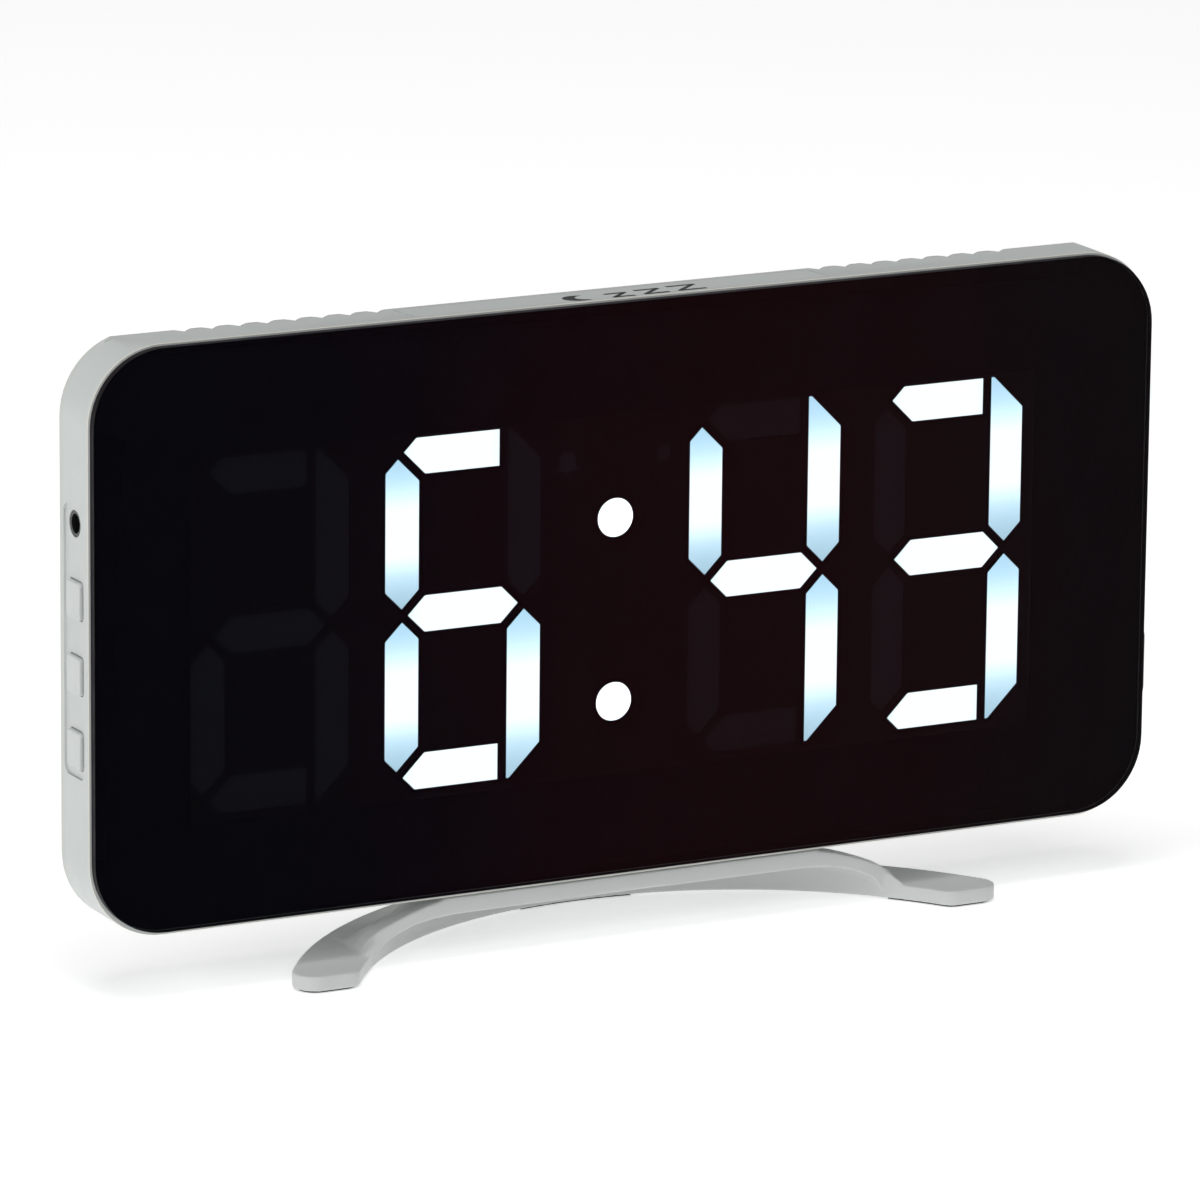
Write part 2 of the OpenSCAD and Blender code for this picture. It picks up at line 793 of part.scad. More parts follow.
module usb_bezel() {
    color([0.06, 0.06, 0.06]) in_body() translate([0, usb_y, -usb_below]) difference() {
        union() {
            side_slab(body_w / 2, usb_bezel_out) rounded(usb_bezel_w, usb_bezel_h, 1.9);
            side_slab(body_w / 2 - wall, body_w / 2 + eps) rounded(usb_sleeve[0], usb_sleeve[1], 1.5);
        }
        side_slab(body_w / 2 - wall - 1, usb_bezel_out + 1)
            rounded(usb_shell[0] + 0.1, usb_shell[1] + 0.1, usb_shell[0] / 2);
    }
}

module usb_shell() {
    t = usb_shell_wall;
    color("silver") in_body() translate([0, usb_y, -usb_below]) difference() {
        union() {
            side_slab(usb_shell_x[0], usb_shell_x[1])
                rounded(usb_shell[0], usb_shell[1], usb_shell[0] / 2 - eps);
            for (s = [-1, 1], x = [usb_shell_x[0] + 0.3, usb_shell_x[0] + 3.3])
                translate([x, 0, s * 4 - 0.4]) cube([1, board_front - usb_y, 0.8]);
        }
        side_slab(usb_shell_x[0] + 0.8, usb_shell_x[1] + 1)
            rounded(usb_shell[0] - 2 * t, usb_shell[1] - 2 * t, usb_shell[0] / 2 - t - eps);
    }
}

module usb_tongue() {
    color([0.06, 0.06, 0.06]) in_body() translate([0, usb_y, -usb_below])
        side_slab(usb_shell_x[0] + 0.8, usb_shell_x[1] - 1) square(usb_tongue, center = true);
}

// ---- stand ----

// the crescent from above: a ring whose two ends are cut across and rounded. grow widens it
function along(a, b, t) = a + (b - a) * t;
function to_left(p) = [-p[0], p[1]];

module crescent_plan(grow) {
    inside = arc_in - grow;
    outside = arc_out + grow;
    r = toe_r + grow;
    in_r = toe_in_r + grow;
    front = arc_forward - toe_forward;
    out_y = front + toe_r;
    in_y = front + toe_in_r;
    out_c = [sqrt(pow(outside - r, 2) - pow(out_y, 2)), out_y];
    in_c = [sqrt(pow(inside + in_r, 2) - pow(in_y, 2)), in_y];
    out_t = out_c * outside / (outside - r);
    in_t = in_c * inside / (inside + in_r);
    far = along(in_t, out_t, 2);
    near = along(in_t, out_t, -0.5);
    back = [far[0], arc_out * 2];
    translate([0, arc_y]) {
        intersection() {
            difference() {
                circle(outside);
                circle(inside);
            }
            polygon([near, far, back, to_left(back), to_left(far), to_left(near)]);
        }
        for (s = [0, 1]) mirror([s, 0]) {
            translate(out_c) circle(r);
            translate(in_c) circle(in_r);
            polygon([in_t, out_t, out_c, [out_c[0], front - grow], [in_c[0], front - grow], in_c]);
        }
    }
}

// a ring sector about the crescent's middle, of the given outline in radius and height
module sector(angle, points) {
    translate([0, arc_y, 0]) rotate([0, 0, 90 - angle]) rotate_extrude(angle = 2 * angle)
        polygon(points);
}

function box_points(r0, r1, z0, z1) = [[r0, z0], [r1, z0], [r1, z1], [r0, z1]];

module arch_outline() {
    polygon(arch_half);
    mirror([1, 0]) polygon(arch_half);
}

// the arch's wings lean down to the back and end on the ridge of the crescent
module arch_wings() {
    open_half = neck_half - 1.5;
    difference() {
        leaning_arch();
        translate([-open_half, front_y, 0]) cube([2 * open_half, big, deck_top - deck_t / 2]);
    }
}

module leaning_arch() {
    intersection() {
        translate([0, front_y + arch_back + 0.5, 0]) rotate([-wing_slope, 0, 0])
            slab(0, 20) arch_outline();
        translate([0, arc_y, -10]) cylinder(h = 30, r = arc_in + 0.8);
        translate([-foot_x + 0.2, front_y + arch_back + 0.5, 1.2])
            cube([2 * foot_x - 0.4, big, deck_top - 1.4]);
    }
}

// the raised back of the crescent: its top falls from the ridge along the inner wall to the
// outer edge, and its two ends fall to the toes. One round cutter makes the inner wall
module ridge() {
    inside = arc_in - 2;
    difference() {
        union() {
            intersection() {
                sector(ridge_angle, [[inside, 0.8], [arc_out - 1, 0.8], [arc_out - 1, toe_t],
                    [arc_in + 5, toe_t + 0.35], [arc_in + 3.2, toe_t + 1.1],
                    [arc_in + 1.7, ridge_h], [inside, ridge_h]]);
                translate([0, front_y, 0]) slab(0, 60) polygon(ridge_end);
            }
            sector(asin((neck_half + 1) / arc_in), box_points(inside, arc_in + neck_t, 1, deck_top));
        }
        translate([0, arc_y, -10]) cylinder(h = 30, r = arc_in);
    }
}

module deck() {
    intersection() {
        translate([-neck_half - 0.6, front_y + arch_back + 0.3, deck_top - deck_t])
            cube([2 * neck_half + 1.2, 40, deck_t]);
        translate([0, arc_y, 0]) cylinder(h = 20, r = arc_in + 1.1);
    }
}

module stand() {
    color([0.72, 0.74, 0.73]) difference() {
        translate([stand_x, 0, 0]) {
            ridge();
            translate([0, 0, stand_base]) linear_extrude(toe_t - stand_base) crescent_plan(0);
            arch_wings();
            translate([0, front_y, 0]) slab(arch_back, arch_back + 2.6) arch_outline();
            deck();
            translate([-neck_half + 2, front_y + arch_back + 1.4, deck_top - 1])
                cube([2 * neck_half - 4, 6, 1 + shadow_gap]);
        }
        for (s = [-1, 1]) translate([stand_x + s * stand_screw_x, front_y + stand_screw_y, 0]) {
            cylinder(h = 20, r = screw_r + 0.15);
            cylinder(h = deck_top - deck_t + head_t, r = head_r + 0.2);
        }
        translate([stand_x, 0, 0]) pad_shapes(0.1);
    }
}

// the rubber pads under the toes and the back of the crescent
module pad_shapes(play) {
    inset = pad_inset - play;
    translate([0, 0, -play]) linear_extrude(rubber_t + play) intersection() {
        crescent_plan(-inset);
        translate([0, front_y - toe_forward]) square([big, 2 * (toe_pad_l + play)], center = true);
    }
    translate([0, 0, -play])
        sector(9, box_points(arc_in + inset, arc_out - inset, 0, rubber_t + play));
}

module foot_pads() {
    color([0.15, 0.15, 0.15]) translate([stand_x, 0, 0]) pad_shapes(0);
}

module stand_screws() {
    seat = deck_top - deck_t + head_t;
    color("silver") for (s = [-1, 1])
        translate([stand_x + s * stand_screw_x, front_y + stand_screw_y, seat]) difference() {
            union() {
                translate([0, 0, -head_t]) cylinder(h = head_t, r = head_r);
                translate([0, 0, -eps]) cylinder(h = stand_screw_l, r = screw_r);
            }
            translate([0, 0, -head_t]) cube([drive_l, drive_w, 1], center = true);
            translate([0, 0, -head_t]) cube([drive_w, drive_l, 1], center = true);
        }
}

mirror_panel();
panel_tape();
front_housing();
rear_cover();
case_screws();
battery_door();
coin_cell();
cell_contact_plus();
cell_contact_minus();
main_board();
board_screws();
light_box();
segment_film();
digit_1();
digit_2();
digit_3();
digit_4();
colon_dots();
indicator_marks();
led_chips();
clock_chip();
driver_chip();
crystal();
capacitors();
buzzer();
side_switches();
snooze_switch();
mode_button();
up_button();
down_button();
mode_plunger();
up_plunger();
down_plunger();
snooze_bar();
snooze_plunger();
power_jack();
power_jack_pin();
usb_shell();
usb_tongue();
usb_bezel();
stand();
stand_screws();
foot_pads();
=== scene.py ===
"""LED mirror alarm clock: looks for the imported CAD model, in metres."""

import math

import bmesh
import bpy
from mathutils import Matrix, Vector


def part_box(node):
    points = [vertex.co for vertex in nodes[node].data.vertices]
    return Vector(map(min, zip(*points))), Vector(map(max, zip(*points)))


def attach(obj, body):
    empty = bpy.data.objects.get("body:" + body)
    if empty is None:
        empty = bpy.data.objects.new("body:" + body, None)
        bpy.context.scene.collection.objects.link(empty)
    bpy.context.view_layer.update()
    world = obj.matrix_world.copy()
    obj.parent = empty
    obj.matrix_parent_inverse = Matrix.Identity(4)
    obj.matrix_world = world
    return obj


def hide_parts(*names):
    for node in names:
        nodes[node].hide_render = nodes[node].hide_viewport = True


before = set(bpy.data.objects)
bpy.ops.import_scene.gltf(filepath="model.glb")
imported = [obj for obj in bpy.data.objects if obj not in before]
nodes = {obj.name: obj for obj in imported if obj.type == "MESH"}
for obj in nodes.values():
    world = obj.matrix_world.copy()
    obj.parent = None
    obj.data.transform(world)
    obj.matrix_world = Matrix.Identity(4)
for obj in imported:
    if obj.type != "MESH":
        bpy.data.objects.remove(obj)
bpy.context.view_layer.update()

MM = 0.001
ROOT = "clock"


# ---- materials ----

# the panel's painted reflection: a coloured sheen painted into its base colour, from its left end to its
# right end
PAINTED_REFLECTION = [
    (0.0, (0.0004, 0.0001, 0.0012)),
    (0.22, (0.0010, 0.0002, 0.0024)),
    (0.45, (0.0095, 0.0006, 0.0016)),
    (0.75, (0.0095, 0.0008, 0.0020)),
    (1.0, (0.0044, 0.0036, 0.0044)),
]

# where along X that table starts and ends
PAINTED_REFLECTION_SPAN = (-0.05, 0.105)

# a lit segment's light from one end to the other
GLOW = [
    (0.0, (0.36, 0.50, 0.58)),
    (0.22, (0.55, 0.74, 0.88)),
    (0.40, (1.25, 1.35, 1.32)),
    (0.60, (1.25, 1.35, 1.32)),
    (0.80, (0.60, 0.82, 0.96)),
    (1.0, (0.42, 0.62, 0.76)),
]


def new_material(name):
    """An empty node material, and its tree with a Principled shader on the output."""
    mat = bpy.data.materials.new(name)
    mat.use_nodes = True
    tree = mat.node_tree
    return mat, tree, tree.nodes["Principled BSDF"]


def add(tree, kind, **sockets):
    """A shader node with its inputs set; underscores in a name stand for spaces."""
    node = tree.nodes.new(kind)
    for key, value in sockets.items():
        node.inputs[key.replace("_", " ")].default_value = value
    return node


def noise(tree, scale, detail=3.0, rough=0.5):
    """Noise over the piece's own place in the clock, with cells of 1/scale metres."""
    coords = tree.nodes.new("ShaderNodeTexCoord")
    node = add(tree, "ShaderNodeTexNoise", Scale=scale, Detail=detail, Roughness=rough)
    tree.links.new(coords.outputs["Object"], node.inputs["Vector"])
    return node.outputs["Fac"]


def spread(tree, source, low, high, start=0.35, end=0.65):
    """Carries a value from start..end to low..high."""
    node = tree.nodes.new("ShaderNodeMapRange")
    tree.links.new(source, node.inputs["Value"])
    for key, value in (("From Min", start), ("From Max", end), ("To Min", low), ("To Max", high)):
        node.inputs[key].default_value = value
    return node.outputs["Result"]


def blend_colours(tree, factor, first, second):
    """A colour that goes from first to second with factor."""
    ramp = tree.nodes.new("ShaderNodeValToRGB")
    ramp.color_ramp.elements[0].color = (*first, 1)
    ramp.color_ramp.elements[1].color = (*second, 1)
    tree.links.new(factor, ramp.inputs["Fac"])
    return ramp.outputs["Color"]


def shade(colour, factor):
    """The colour made darker by factor."""
    return tuple(c * factor for c in colour)


def moulded(name, colour, rough=0.45, grain=5200, bump=0.012, mottle=0.04, specular=0.5, tint=None):
    """Moulded plastic: faint large mottle, fine spark-eroded grain, and uneven gloss."""
    mat, tree, shader = new_material(name)
    broad = noise(tree, 38, 4)
    fine = noise(tree, grain, 2)
    other = tint or shade(colour, 1 - mottle)
    tree.links.new(blend_colours(tree, spread(tree, broad, 0, 1), colour, other), shader.inputs["Base Color"])
    tree.links.new(spread(tree, noise(tree, 420, 3), rough - 0.05, rough + 0.06), shader.inputs["Roughness"])
    shader.inputs["Specular IOR Level"].default_value = specular
    relief = add(tree, "ShaderNodeBump", Strength=1.0, Distance=bump * MM)
    tree.links.new(fine, relief.inputs["Height"])
    tree.links.new(relief.outputs["Normal"], shader.inputs["Normal"])
    return mat


def metal(name, colour, rough=0.3, brush=900):
    """Plated metal with fine scratches and uneven polish."""
    mat, tree, shader = new_material(name)
    shader.inputs["Metallic"].default_value = 1.0
    broad = noise(tree, 300, 4)
    tree.links.new(blend_colours(tree, broad, shade(colour, 0.9), colour), shader.inputs["Base Color"])
    tree.links.new(spread(tree, noise(tree, brush, 6), rough - 0.08, rough + 0.1), shader.inputs["Roughness"])
    relief = add(tree, "ShaderNodeBump", Strength=1.0, Distance=0.004 * MM)
    tree.links.new(noise(tree, 4000, 2), relief.inputs["Height"])
    tree.links.new(relief.outputs["Normal"], shader.inputs["Normal"])
    return mat


def smoked_panel(name, clear):
    """Dark half-mirrored acrylic. A ray crosses two faces, and each lets that share of it through."""
    mat, tree, shader = new_material(name)
    coords = tree.nodes.new("ShaderNodeTexCoord")
    split = tree.nodes.new("ShaderNodeSeparateXYZ")
    tree.links.new(coords.outputs["Object"], split.inputs["Vector"])
    across = tree.nodes.new("ShaderNodeMath")
    across.operation = "MULTIPLY_ADD"
    across.inputs[1].default_value = 0.05
    tree.links.new(noise(tree, 14, 3), across.inputs[0])
    tree.links.new(split.outputs["X"], across.inputs[2])
    # the panel's colour sweeps along X through that table: a painted reflection, not a tint of the acrylic
    tint = colour_ramp(tree, spread(tree, across.outputs[0], 0, 1, *PAINTED_REFLECTION_SPAN), PAINTED_REFLECTION)
    tree.links.new(tint, shader.inputs["Base Color"])
    tree.links.new(spread(tree, noise(tree, 700, 4), 0.03, 0.06), shader.inputs["Roughness"])
    shader.inputs["Specular IOR Level"].default_value = 0.04
    through = tree.nodes.new("ShaderNodeBsdfTransparent")
    through.inputs["Color"].default_value = (0.93, 0.98, 1.0, 1)
    mix = tree.nodes.new("ShaderNodeMixShader")
    mix.inputs["Fac"].default_value = 1 - clear
    tree.links.new(through.outputs["BSDF"], mix.inputs[1])
    tree.links.new(shader.outputs["BSDF"], mix.inputs[2])
    tree.links.new(mix.outputs["Shader"], tree.nodes["Material Output"].inputs["Surface"])
    return mat


def colour_ramp(tree, factor, stops):
    """A smooth ramp through colours at the places of stops."""
    ramp = tree.nodes.new("ShaderNodeValToRGB")
    ramp.color_ramp.interpolation = "B_SPLINE"
    elements = ramp.color_ramp.elements
    while len(elements) < len(stops):
        elements.new(0.5)
    for element, (place_on, colour) in zip(elements, stops):
        element.position = place_on
        element.color = (*colour, 1)
    tree.links.new(factor, ramp.inputs["Fac"])
    return ramp.outputs["Color"]


def glowing(name, strength):
    """A lit segment: brightest over its emitters, cooler and dimmer towards its ends."""
    mat, tree, shader = new_material(name)
    coords = tree.nodes.new("ShaderNodeUVMap")
    coords.uv_map = "along"
    split = tree.nodes.new("ShaderNodeSeparateXYZ")
    tree.links.new(coords.outputs["UV"], split.inputs["Vector"])
    shader.inputs["Base Color"].default_value = (0.8, 0.85, 0.9, 1)
    shader.inputs["Roughness"].default_value = 0.5
    tree.links.new(colour_ramp(tree, split.outputs["X"], GLOW), shader.inputs["Emission Color"])
    shader.inputs["Emission Strength"].default_value = strength
    return mat


housing = moulded("housing_satin", (0.570, 0.600, 0.590), rough=0.42)
cover = moulded("cover_satin", (0.565, 0.585, 0.560), rough=0.48)
stand_white = moulded("stand_satin", (0.575, 0.595, 0.585), rough=0.4)
keys = moulded("key_satin", (0.585, 0.615, 0.605), rough=0.4)
rubber = moulded("pad_rubber", (0.03, 0.03, 0.045), rough=0.8, grain=2500, bump=0.04, specular=0.2)
black_gloss = moulded("socket_black", (0.012, 0.012, 0.013), rough=0.3)
black_matt = moulded("black_matt", (0.012, 0.012, 0.012), rough=0.7, specular=0.2)
tape_black = moulded("tape_black", (0.004, 0.004, 0.010), rough=0.9, specular=0.05)
film_black = moulded("film_black", (0.009, 0.0045, 0.005), rough=0.9, specular=0.05)
white_inner = moulded("white_inner", (0.8, 0.8, 0.78), rough=0.6)
board_green = moulded("board_green", (0.02, 0.12, 0.05), rough=0.35, tint=(0.03, 0.16, 0.06))
print_black = moulded("print_black", (0.025, 0.025, 0.028), rough=0.55)
frosted = moulded("frosted_unlit", (0.14, 0.13, 0.17), rough=0.6, specular=0.05)
phosphor = moulded("phosphor", (0.8, 0.7, 0.2), rough=0.4)
tan = moulded("capacitor_tan", (0.6, 0.35, 0.08), rough=0.45)
cream = moulded("plunger_cream", (0.5, 0.47, 0.38), rough=0.5)
steel = metal("plated_steel", (0.72, 0.72, 0.73))
brass = metal("contact_plate", (0.8, 0.68, 0.42), rough=0.25)
panel_dark = smoked_panel("smoked_mirror", clear=0.4)
lit = glowing("lit_segment", 7.0)
lit_dot = moulded("lit_dot", (0.85, 0.9, 0.95), rough=0.5)
lit_dot.node_tree.nodes["Principled BSDF"].inputs["Emission Color"].default_value = (1.0, 1.0, 1.0, 1)
lit_dot.node_tree.nodes["Principled BSDF"].inputs["Emission Strength"].default_value = 11.0
panel_side = moulded("panel_side", (0.008, 0.005, 0.008), rough=0.4, specular=0.1)
# a lighter, slightly beige colour for rounded front edges: a painted highlight where the edge catches light
painted_edge_highlight = moulded("edge_painted_highlight", (0.80, 0.77, 0.66), rough=0.42)

FINISH = {
    "mirror_panel": panel_dark, "panel_tape": tape_black, "front_housing": housing, "rear_cover": cover,
    "case_screws": steel, "battery_door": cover, "coin_cell": steel, "cell_contact_plus": brass,
    "cell_contact_minus": brass, "main_board": board_green, "board_screws": steel, "light_box": white_inner,
    "segment_film": film_black, "indicator_marks": frosted, "led_chips": phosphor, "clock_chip": black_matt,
    "driver_chip": black_matt, "crystal": steel, "capacitors": tan, "buzzer": black_matt,
    "side_switches": black_matt, "snooze_switch": black_matt, "mode_button": keys, "up_button": keys,
    "down_button": keys, "mode_plunger": cream, "up_plunger": cream, "down_plunger": cream,
    "snooze_bar": housing, "snooze_plunger": cream, "power_jack": black_gloss, "power_jack_pin": brass,
    "usb_shell": steel, "usb_tongue": black_gloss, "usb_bezel": black_gloss, "stand": stand_white,
    "stand_screws": steel, "foot_pads": rubber,
}


def finish_node(name, mat):
    """Gives a CAD node its finish on every slot it has."""
    data = nodes[name].data
    if not data.materials:
        data.materials.append(mat)
    for index in range(len(data.materials)):
        data.materials[index] = mat


for node_name, mat in FINISH.items():
    finish_node(node_name, mat)


# ---- pieces ----

def place(name, mesh, mat, body=ROOT):
    """A new object for a mesh that is already in its place."""
    obj = bpy.data.objects.new(name, mesh)
    bpy.context.scene.collection.objects.link(obj)
    if mat is not None:
        mesh.materials.append(mat)
    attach(obj, body)
    return obj


def welded(node):
    """A CAD node's mesh in bmesh, with its split corners joined and its flat faces whole."""
    bm = bmesh.new()
    bm.from_mesh(nodes[node].data)
    bmesh.ops.remove_doubles(bm, verts=bm.verts, dist=0.002 * MM)
    bmesh.ops.dissolve_limit(bm, angle_limit=math.radians(0.4), verts=bm.verts, edges=bm.edges)
    return bm


def islands(bm):
    """The separate solids in a bmesh, as lists of faces."""
    left = set(bm.faces)
    while left:
        stack = [left.pop()]
        group = list(stack)
        while stack:
            for edge in stack.pop().edges:
                for face in edge.link_faces:
                    if face in left:
                        left.remove(face)
                        group.append(face)
                        stack.append(face)
        yield group


# the segments that are lit: 6:43
LIT = {"digit_1": "", "digit_2": "acdefg", "digit_3": "bcfg", "digit_4": "abcdg"}


def segment_letter(x, z, half_w, half_h):
    """Which segment has its middle at x, z from the middle of its digit."""
    if abs(x) < half_w * 0.4:
        return "a" if z > half_h * 0.5 else "d" if z < -half_h * 0.5 else "g"
    if z > 0:
        return "b" if x > 0 else "f"
    return "c" if x > 0 else "e"


def show_digit(node):
    """The digit's segments, lit or not, each with a map that runs along its length."""
    low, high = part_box(node)
    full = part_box("digit_2")
    half_w, half_h = (full[1].x - full[0].x) / 2, (full[1].z - full[0].z) / 2
    middle_x = high.x - half_w
    middle_z = (low.z + high.z) / 2
    bm = welded(node)
    along = bm.loops.layers.uv.new("along")
    for group in islands(bm):
        points = [v.co for f in group for v in f.verts]
        x0, x1 = min(p.x for p in points), max(p.x for p in points)
        z0, z1 = min(p.z for p in points), max(p.z for p in points)
        letter = segment_letter((x0 + x1) / 2 - middle_x, (z0 + z1) / 2 - middle_z, half_w, half_h)
        for face in group:
            face.material_index = 1 if letter in LIT[node] else 0
            for loop in face.loops:
                across, up = (loop.vert.co.x - x0) / (x1 - x0), (loop.vert.co.z - z0) / (z1 - z0)
                # a level segment shows only the bright middle of the glow
                loop[along].uv = (0.3 + 0.4 * across, up) if letter in "adg" else (up, across)
    mesh = bpy.data.meshes.new(node + "_segments")
    bm.to_mesh(mesh)
    bm.free()
    obj = place(node + "_segments", mesh, frosted)
    mesh.materials.append(lit)
    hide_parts(node)
    return obj


for digit in LIT:
    show_digit(digit)
finish_node("colon_dots", lit_dot)


# ---- softened edges ----

# how far the faces at an edge turn, in radians, before the edge is rounded off
SHARP_TURN = 0.7


def finish_mesh(bm, name, angle=32):
    """A mesh from bm, smooth except over edges sharper than angle."""
    mesh = bpy.data.meshes.new(name)
    bm.to_mesh(mesh)
    bm.free()
    mesh.shade_smooth()
    mesh.set_sharp_from_angle(angle=math.radians(angle))
    return mesh


def softened(node, mat, pick, width, body=ROOT, highlight_mat=None, segments=3):
    """A copy of a CAD node in its place, with the edges that pick chooses rounded off. A second material, if
    given, paints the rounded faces a lighter colour: a painted highlight.
    """
    bm = welded(node)
    for face in bm.faces:
        face.material_index = 0
    edges = [
        e for e in bm.edges
        if len(e.link_faces) == 2 and e.is_convex and e.calc_face_angle() > SHARP_TURN and pick(e)
    ]
    bmesh.ops.bevel(
        bm, geom=edges, offset=width * MM, offset_type="OFFSET", segments=segments, profile=0.5,
        affect="EDGES", clamp_overlap=True, material=1 if highlight_mat else -1,
    )
    obj = place(node + "_soft", finish_mesh(bm, node + "_soft"), mat, body)
    if highlight_mat:
        obj.data.materials.append(highlight_mat)
    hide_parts(node)
    normals = obj.modifiers.new("normals", "WEIGHTED_NORMAL")
    normals.keep_sharp = True
    return obj


def on_plane(axis, value, sense=0):
    """Chooses edges in the plane where that coordinate has that value. With sense 1, only outer outlines."""
    def pick(edge):
        if any(abs(v.co[axis] - value) > 0.01 * MM for v in edge.verts):
            return False
        if not sense:
            return True
        middle = (edge.verts[0].co + edge.verts[1].co) / 2 - body_middle
        middle[axis] = 0
        sides = [f.normal for f in edge.link_faces if abs(f.normal[axis]) < 0.5]
        return bool(sides) and sides[0].dot(middle) > 0
    return pick


housing_low, housing_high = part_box("front_housing")
body_middle = (housing_low + housing_high) / 2
panel_low, panel_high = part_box("mirror_panel")

# the housing's rounded front rim gets the lighter material: a painted highlight along the edge
softened("front_housing", housing, on_plane(1, panel_high.y, 1), 0.3, highlight_mat=painted_edge_highlight)
panel = softened("mirror_panel", panel_dark, on_plane(1, panel_low.y, 1), 0.1, segments=2)
panel.data.materials.append(panel_side)
for polygon in panel.data.polygons:
    if abs(polygon.normal.y) < 0.5:
        polygon.material_index = 1
softened("rear_cover", cover, on_plane(1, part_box("rear_cover")[1].y, 1), 0.8)
softened("battery_door", cover, on_plane(1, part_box("battery_door")[1].y), 0.25, "cell_door")
softened("usb_bezel", black_gloss, on_plane(0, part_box("usb_bezel")[1].x), 0.3)
for key in ("mode", "up", "down"):
    outer_face = on_plane(0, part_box(key + "_button")[0].x)
    softened(key + "_button", keys, outer_face, 0.25, key + "_key")


# ---- stand ----

def moulded_stand():
    """The stand's CAD shape with its edges rounded over, as a mould leaves them."""
    mesh = nodes["stand"].data.copy()
    obj = place("stand_moulded", mesh, None)
    mesh.materials.clear()
    mesh.materials.append(stand_white)
    for polygon in mesh.polygons:
        polygon.material_index = 0
    remesh = obj.modifiers.new("remesh", "REMESH")
    remesh.mode = "VOXEL"
    remesh.voxel_size = 0.22 * MM
    remesh.use_smooth_shade = True
    smooth = obj.modifiers.new("smooth", "SMOOTH")
    smooth.factor = 0.5
    smooth.iterations = 3
    depsgraph = bpy.context.evaluated_depsgraph_get()
    baked = bpy.data.meshes.new_from_object(obj.evaluated_get(depsgraph))
    obj.modifiers.clear()
    obj.data = baked
    baked.name = "stand_moulded"
    low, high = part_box("stand")
    for vertex in baked.vertices:
        for axis in range(3):
            vertex.co[axis] = min(max(vertex.co[axis], low[axis]), high[axis])
    baked.shade_smooth()
    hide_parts("stand")
    return obj


moulded_stand()


# ---- printed sleep sign on the snooze bar ----

# the lip over the panel's top, how far behind the panel's face the top starts to fall, and its fall
TOP_LIP = 0.35
TOP_START = 1.0
TOP_SLOPE = 0.5 / 8.8

# how far the print goes into and stands above the top, and the widths of level and leaning strokes
PRINT_SUNK, PRINT_RAISED = -0.01, 0.02
LEVEL_STROKE, LEANING_STROKE = 0.75, 0.65

# the moon's middle and radius, and each letter's left end, lower edge and height, in mm
MOON = (-6.9, -6.5, 2.1)
LETTERS = [(-2.6, -8.3, 2.7), (2.1, -8.1, 3.1), (7.2, -8.0, 3.5)]


def top_height(y):
    """Height of the clock's falling top at y."""
    return panel_high.z + TOP_LIP * MM - TOP_SLOPE * (y - panel_low.y - TOP_START * MM)


def printed_strip(bm, rails):
    """A flat printed area between pairs of points on the top."""
    rings = []
    for left, right in rails:
        ring = []
        section = ((left, PRINT_SUNK), (left, PRINT_RAISED), (right, PRINT_RAISED), (right, PRINT_SUNK))
        for (x, y), raised in section:
            ring.append(bm.verts.new((x * MM, y * MM, top_height(y * MM) + raised * MM)))
        rings.append(ring)
    for a, b in zip(rings, rings[1:]):
        for k in range(4):
            bm.faces.new((a[k], a[(k + 1) % 4], b[(k + 1) % 4], b[k]))
    bm.faces.new(reversed(rings[0]))
    bm.faces.new(rings[-1])


def printed_stroke(bm, start, end, width):
    """A straight printed stroke of that width."""
    start, end = Vector(start), Vector(end)
    along = (end - start).normalized()
    side = Vector((-along.y, along.x)) * width / 2
    printed_strip(bm, [(start + side, start - side), (end + side, end - side)])


def sleep_sign():
    """A crescent moon and three rising letters z, the usual sign for sleep."""
    bm = bmesh.new()
    middle_x, middle_y, radius = MOON
    steps = 24
    outer, inner = [], []
    for k in range(steps):
        turn = math.radians(48 + 264 * (k + 0.5) / steps)
        outer.append((middle_x + radius * math.cos(turn), middle_y + radius * math.sin(turn)))
        t = (k + 0.5) / steps
        y = middle_y + radius * math.cos(math.pi * t) * 0.78
        inner.append((middle_x + 1.35 - 1.65 * math.sin(math.pi * t), y))
    printed_strip(bm, list(zip(outer, inner)))
    for left, low, tall in LETTERS:
        wide = tall * 1.2
        printed_stroke(bm, (left, low + tall), (left + wide, low + tall), LEVEL_STROKE)
        printed_stroke(bm, (left + wide - 0.3, low + tall), (left + 0.3, low), LEANING_STROKE)
        printed_stroke(bm, (left, low), (left + wide, low), LEVEL_STROKE)
    bmesh.ops.recalc_face_normals(bm, faces=bm.faces)
    mesh = bpy.data.meshes.new("sleep_sign")
    bm.to_mesh(mesh)
    bm.free()
    sign = place("sleep_sign", mesh, print_black, "snooze_key")


sleep_sign()


# ---- stage, light and camera ----

# each area light's name, place, size in metres and power in watts, and the point they all face
LIGHTS = [
    ("left_light", (-1.7, -0.3, 0.6), (1.2, 1.2), 9.5),
    ("front_light", (0.2, -1.4, 1.6), (1.4, 1.2), 8),
    ("top_light", (-0.3, -0.25, 1.85), (0.9, 0.9), 12),
]
LIGHTS_AIM = (0, 0, 0.045)


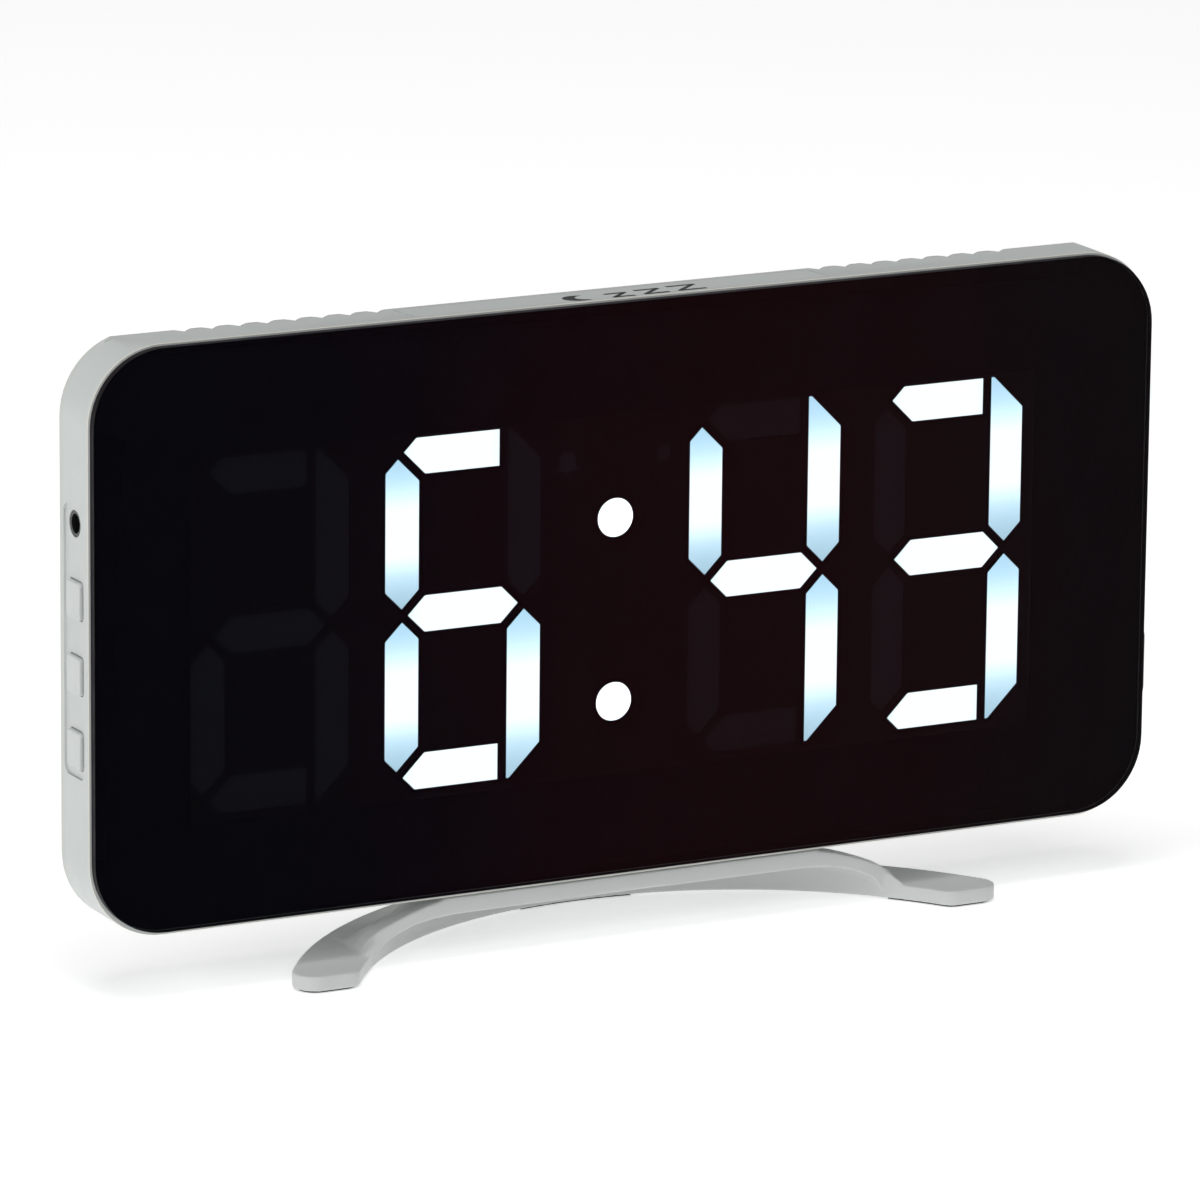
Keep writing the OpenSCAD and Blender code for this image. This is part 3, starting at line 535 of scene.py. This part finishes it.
def stage_floor():
    """A plain pale floor."""
    mesh = bpy.data.meshes.new("floor")
    half = 4.0
    corners = [(-half, -half, 0), (half, -half, 0), (half, half, 0), (-half, half, 0)]
    mesh.from_pydata(corners, [], [(0, 1, 2, 3)])
    floor = bpy.data.objects.new("floor", mesh)
    bpy.context.scene.collection.objects.link(floor)
    mat, tree, shader = new_material("pale_floor")
    shader.inputs["Base Color"].default_value = (0.9, 0.9, 0.9, 1)
    shader.inputs["Roughness"].default_value = 0.9
    shader.inputs["Specular IOR Level"].default_value = 0.1
    shader.inputs["Emission Color"].default_value = (1, 1, 1, 1)
    shader.inputs["Emission Strength"].default_value = 0.43
    mesh.materials.append(mat)


def softbox(name, place_at, size, power):
    """A white area light at place_at that faces the clock."""
    data = bpy.data.lights.new(name, "AREA")
    data.shape = "RECTANGLE"
    data.size, data.size_y = size
    data.energy = power
    obj = bpy.data.objects.new(name, data)
    obj.location = place_at
    obj.rotation_euler = (Vector(LIGHTS_AIM) - Vector(place_at)).to_track_quat("-Z", "Y").to_euler()
    bpy.context.scene.collection.objects.link(obj)


def set_world():
    """Even white light from all round."""
    world = bpy.data.worlds.new("studio")
    bpy.context.scene.world = world
    world.use_nodes = True
    world.node_tree.nodes["Background"].inputs["Color"].default_value = (1, 1, 1, 1)
    world.node_tree.nodes["Background"].inputs["Strength"].default_value = 0.26


def set_camera():
    """The photograph's view: from the left and a little above, with a long lens."""
    data = bpy.data.cameras.new("camera")
    data.lens = 265.03
    data.sensor_width = 36
    data.clip_end = 50
    cam = bpy.data.objects.new("camera", data)
    right = Vector((0.8891, -0.4576, 0.0096))
    up = Vector((0.1025, 0.2195, 0.9702))
    turn = Matrix((right, up, right.cross(up))).transposed()
    cam.matrix_world = Matrix.Translation((-0.5252, -1.0148, 0.32905)) @ turn.to_4x4()
    bpy.context.scene.collection.objects.link(cam)
    bpy.context.scene.camera = cam


stage_floor()
set_world()
set_camera()
for light in LIGHTS:
    softbox(*light)
bpy.context.scene.view_settings.view_transform = "Standard"
